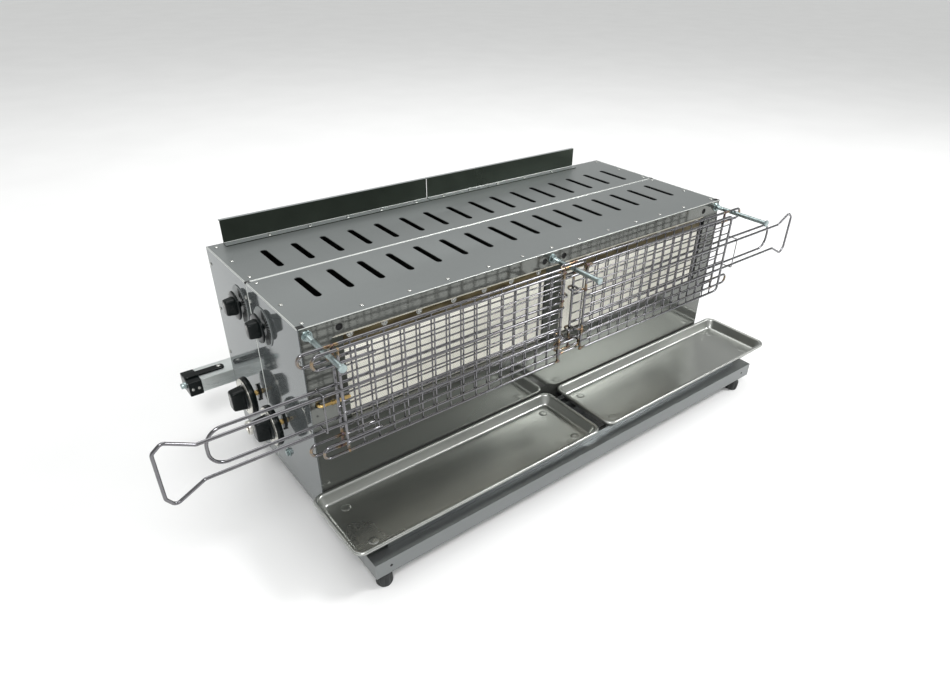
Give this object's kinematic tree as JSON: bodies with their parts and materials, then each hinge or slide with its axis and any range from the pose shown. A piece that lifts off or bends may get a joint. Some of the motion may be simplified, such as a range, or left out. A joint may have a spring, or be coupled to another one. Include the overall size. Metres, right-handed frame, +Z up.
{
  "type": "vertical_gas_grill",
  "caption": "Tabletop vertical gas grill: slotted stainless casing, ceramic burners behind hinged wire baskets on rods, drip trays in front, knobs on the left side",
  "frame": {"origin": "floor under the middle of the bounding box", "axes": "+X along the casing to the side without knobs, +Y from the baskets to the back, +Z up"},
  "size_m": [1.4482, 0.5986, 0.457],
  "materials": {
    "brushed_steel": "brushed stainless sheet",
    "polished_steel": "pressed stainless, bright",
    "dark_steel": "stainless seen dark, mirror finish",
    "chrome_wire": "plated wire with heat tint at the welds",
    "zinc_plate": "bluish zinc plate",
    "burner_ceramic": null,
    "heat_tinted_steel": "stainless tinted brown by heat",
    "fibre_gasket": "woven glass fibre rope",
    "black_plastic": "moulded black, gloss",
    "brass": "turned brass",
    "foot_rubber": "moulded rubber",
    "nickel": "dull nickel plate"
  },
  "bodies": {
    "root": {"back_bar": "brushed_steel", "base_front_rail": "brushed_steel", "base_left_rail": "brushed_steel", "base_mid_rail": "brushed_steel", "base_rear_rail": "brushed_steel", "base_right_rail": "brushed_steel", "front_fascia": "brushed_steel", "module_wall": "brushed_steel", "tray_rest_front": "brushed_steel", "tray_rest_back": "brushed_steel", "rear_fascia": "brushed_steel", "side_panel_front_left": "brushed_steel", "side_panel_front_right": "brushed_steel", "side_panel_rear_left": "brushed_steel", "side_panel_rear_right": "brushed_steel", "top_panel_front": "brushed_steel", "top_panel_rear": "brushed_steel", "dial_plate_front": "polished_steel", "dial_plate_rear": "polished_steel", "burner_box_left": "dark_steel", "burner_box_right": "dark_steel", "burner_divider": "dark_steel", "burner_side_bracket": "dark_steel", "rear_upstand_left": "dark_steel", "rear_upstand_right": "dark_steel", "hang_rod_left": "zinc_plate", "hang_rod_centre": "zinc_plate", "hang_rod_right": "zinc_plate", "bar_end_stub": "zinc_plate", "burner_plate_left": "burner_ceramic", "burner_plate_right": "burner_ceramic", "heat_strip_left": "heat_tinted_steel", "heat_strip_right": "heat_tinted_steel", "window_gasket": "fibre_gasket", "bar_end_block": "black_plastic", "bar_tongue": "black_plastic", "tap_plate_front": "black_plastic", "tap_plate_rear": "black_plastic", "pilot_tube": "brass", "inlet_fitting": "nickel"},
    "dial_front": {"dial_knob_front": "black_plastic"},
    "dial_rear": {"dial_knob_rear": "black_plastic"},
    "tap_front": {"tap_knob_front": "black_plastic", "tap_knob_face_front": "nickel", "tap_stem_front": "brass"},
    "tap_rear": {"tap_knob_rear": "black_plastic", "tap_knob_face_rear": "nickel", "tap_stem_rear": "brass"},
    "basket_left_body": {"basket_left_rear": "chrome_wire"},
    "basket_right_body": {"basket_right_rear": "chrome_wire"},
    "basket_left_door": {"basket_left_front": "chrome_wire"},
    "basket_right_door": {"basket_right_front": "chrome_wire"},
    "clip_left": {"lock_clip_left": "chrome_wire"},
    "clip_right": {"lock_clip_right": "chrome_wire"},
    "tray_left": {"drip_tray_left": "polished_steel"},
    "tray_right": {"drip_tray_right": "polished_steel"},
    "foot_fl": {"foot_front_left": "foot_rubber"},
    "foot_fr": {"foot_front_right": "foot_rubber"},
    "foot_rl": {"foot_rear_left": "foot_rubber"},
    "foot_rr": {"foot_rear_right": "foot_rubber"}
  },
  "joints": [
    {"name": "dial_front_turn", "type": "hinge", "parent": "root", "child": "dial_front", "pos_m": [-0.4865, 0.01075, 0.355], "axis": [-1, 0, 0], "range_deg": [0, 270]},
    {"name": "dial_rear_turn", "type": "hinge", "parent": "root", "child": "dial_rear", "pos_m": [-0.4865, 0.10875, 0.355], "axis": [-1, 0, 0], "range_deg": [0, 270]},
    {"name": "tap_front_turn", "type": "hinge", "parent": "root", "child": "tap_front", "pos_m": [-0.4865, -0.00525, 0.1745], "axis": [-1, 0, 0], "range_deg": [0, 180]},
    {"name": "tap_rear_turn", "type": "hinge", "parent": "root", "child": "tap_rear", "pos_m": [-0.4865, 0.10575, 0.1745], "axis": [-1, 0, 0], "range_deg": [0, 180]},
    {"name": "basket_left_slide", "type": "slide", "parent": "root", "child": "basket_left_body", "axis": [0, -1, 0], "range_m": [-0.036, 0.028]},
    {"name": "basket_right_slide", "type": "slide", "parent": "root", "child": "basket_right_body", "axis": [0, -1, 0], "range_m": [-0.036, 0.028]},
    {"name": "basket_left_open", "type": "hinge", "parent": "basket_left_body", "child": "basket_left_door", "pos_m": [-0.0145, -0.18925, 0.318], "axis": [0, 0, 1], "range_deg": [0, 80]},
    {"name": "basket_right_open", "type": "hinge", "parent": "basket_right_body", "child": "basket_right_door", "pos_m": [0.0215, -0.17925, 0.318], "axis": [0, 0, -1], "range_deg": [0, 46]},
    {"name": "clip_left_slide", "type": "slide", "parent": "basket_left_door", "child": "clip_left", "axis": [-1, 0, 0], "range_m": [0, 0.15]},
    {"name": "clip_right_slide", "type": "slide", "parent": "basket_right_door", "child": "clip_right", "axis": [1, 0, 0], "range_m": [0, 0.15]},
    {"name": "tray_left_slide", "type": "slide", "parent": "root", "child": "tray_left", "axis": [0, -1, 0], "range_m": [0, 0.15]},
    {"name": "tray_right_slide", "type": "slide", "parent": "root", "child": "tray_right", "axis": [0, -1, 0], "range_m": [0, 0.15]},
    {"name": "foot_fl_turn", "type": "hinge", "parent": "root", "child": "foot_fl", "pos_m": [-0.4615, -0.27925, 0], "axis": [0, 0, 1], "continuous": true},
    {"name": "foot_fr_turn", "type": "hinge", "parent": "root", "child": "foot_fr", "pos_m": [0.4885, -0.27925, 0], "axis": [0, 0, 1], "continuous": true},
    {"name": "foot_rl_turn", "type": "hinge", "parent": "root", "child": "foot_rl", "pos_m": [-0.4615, 0.22575, 0], "axis": [0, 0, 1], "continuous": true},
    {"name": "foot_rr_turn", "type": "hinge", "parent": "root", "child": "foot_rr", "pos_m": [0.4885, 0.22575, 0], "axis": [0, 0, 1], "continuous": true}
  ],
  "couplings": [
    {"joint": "basket_right_slide", "follows": "basket_left_slide", "ratio": 1}
  ]
}
